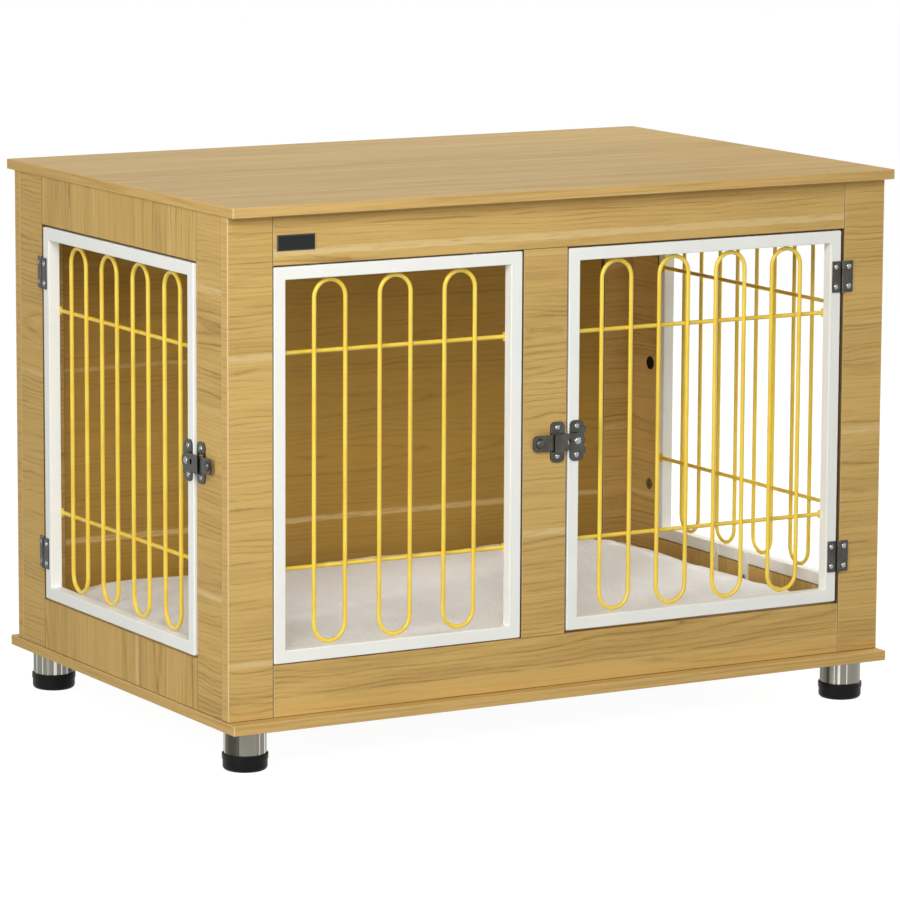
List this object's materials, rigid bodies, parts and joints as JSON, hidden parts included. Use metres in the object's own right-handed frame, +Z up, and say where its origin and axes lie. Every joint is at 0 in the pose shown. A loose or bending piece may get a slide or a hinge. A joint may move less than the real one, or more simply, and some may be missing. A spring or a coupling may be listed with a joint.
{
  "type": "dog crate end table",
  "caption": "Boarded pet crate that serves as an end table, with a hinged front door, a hinged side door, barred windows, flip latches, short feet and a floor cushion.",
  "frame": {"origin": "on the floor under the middle of the table", "axes": "+Z up, X across the front with +X to the right as seen from the front, front face towards -Y"},
  "size_m": [0.9092, 0.6, 0.655],
  "materials": {
    "oak_laminate": "light oak print, satin",
    "white_paint": "white powder coat, satin",
    "yellow_paint": "yellow enamel, gloss",
    "brushed_tube": "brushed round the tube",
    "dark_steel": "dark nickel, satin",
    "zinc_steel": "bright zinc",
    "black_plastic": "black, satin",
    "plush": "cream short-pile plush",
    "beech": "plain turned beech",
    "slate_plate": "slate grey, blank"
  },
  "bodies": {
    "carcass": {"base_board": "oak_laminate", "base_screws": "zinc_steel", "cam_bolts": "zinc_steel", "cam_cover_caps": "black_plastic", "cam_locks": "zinc_steel", "carcass_fitting_screws": "zinc_steel", "cushion": "plush", "front_bottom_rail": "oak_laminate", "front_centre_stile": "oak_laminate", "front_hinge_fixed_leaves": "dark_steel", "front_hinge_pins": "zinc_steel", "front_latch_keeper": "dark_steel", "front_left_leg_tube": "brushed_tube", "front_left_post": "oak_laminate", "front_right_leg_tube": "brushed_tube", "front_right_post": "oak_laminate", "front_top_rail": "oak_laminate", "front_window_frame": "white_paint", "front_window_grille": "yellow_paint", "left_bottom_rail": "oak_laminate", "left_front_stile": "oak_laminate", "left_rear_stile": "oak_laminate", "left_top_rail": "oak_laminate", "leg_cups": "black_plastic", "leg_studs": "zinc_steel", "nameplate": "slate_plate", "rail_dowels": "beech", "rear_left_leg_tube": "brushed_tube", "rear_left_post": "oak_laminate", "rear_panel": "oak_laminate", "rear_right_leg_tube": "brushed_tube", "rear_right_post": "oak_laminate", "right_bottom_rail": "oak_laminate", "right_front_stile": "oak_laminate", "right_rear_stile": "oak_laminate", "right_top_rail": "oak_laminate", "right_window_frame": "white_paint", "right_window_grille": "yellow_paint", "side_hinge_fixed_leaves": "dark_steel", "side_hinge_pins": "zinc_steel", "side_latch_keeper": "dark_steel", "table_top": "oak_laminate", "window_grille_screws": "zinc_steel", "window_pins": "zinc_steel", "window_tabs": "white_paint"},
    "front_door": {"front_door_frame": "white_paint", "front_door_grille": "yellow_paint", "front_door_screws": "zinc_steel", "front_hinge_door_leaves": "dark_steel", "front_latch_plate": "dark_steel", "front_latch_pivot": "zinc_steel"},
    "side_door": {"side_door_frame": "white_paint", "side_door_grille": "yellow_paint", "side_door_screws": "zinc_steel", "side_hinge_door_leaves": "dark_steel", "side_latch_plate": "dark_steel", "side_latch_pivot": "zinc_steel"},
    "front_latch_bar": {"front_latch_bar": "dark_steel"},
    "side_latch_bar": {"side_latch_bar": "dark_steel"}
  },
  "joints": [
    {"name": "front_door_hinge", "type": "hinge", "parent": "carcass", "child": "front_door", "pos_m": [0.388, -0.2845, 0.3543], "axis": [0, 0, 1], "range_deg": [0, 170]},
    {"name": "side_door_hinge", "type": "hinge", "parent": "carcass", "child": "side_door", "pos_m": [-0.4515, 0.2005, 0.3543], "axis": [0, 0, -1], "range_deg": [0, 170]},
    {"name": "front_latch_flip", "type": "hinge", "parent": "front_door", "child": "front_latch_bar", "pos_m": [0.01355, -0.282, 0.3543], "axis": [0, 1, 0], "range_deg": [0, 100]},
    {"name": "side_latch_flip", "type": "hinge", "parent": "side_door", "child": "side_latch_bar", "pos_m": [-0.451, -0.19145, 0.3543], "axis": [-1, 0, 0], "range_deg": [0, 100]}
  ]
}
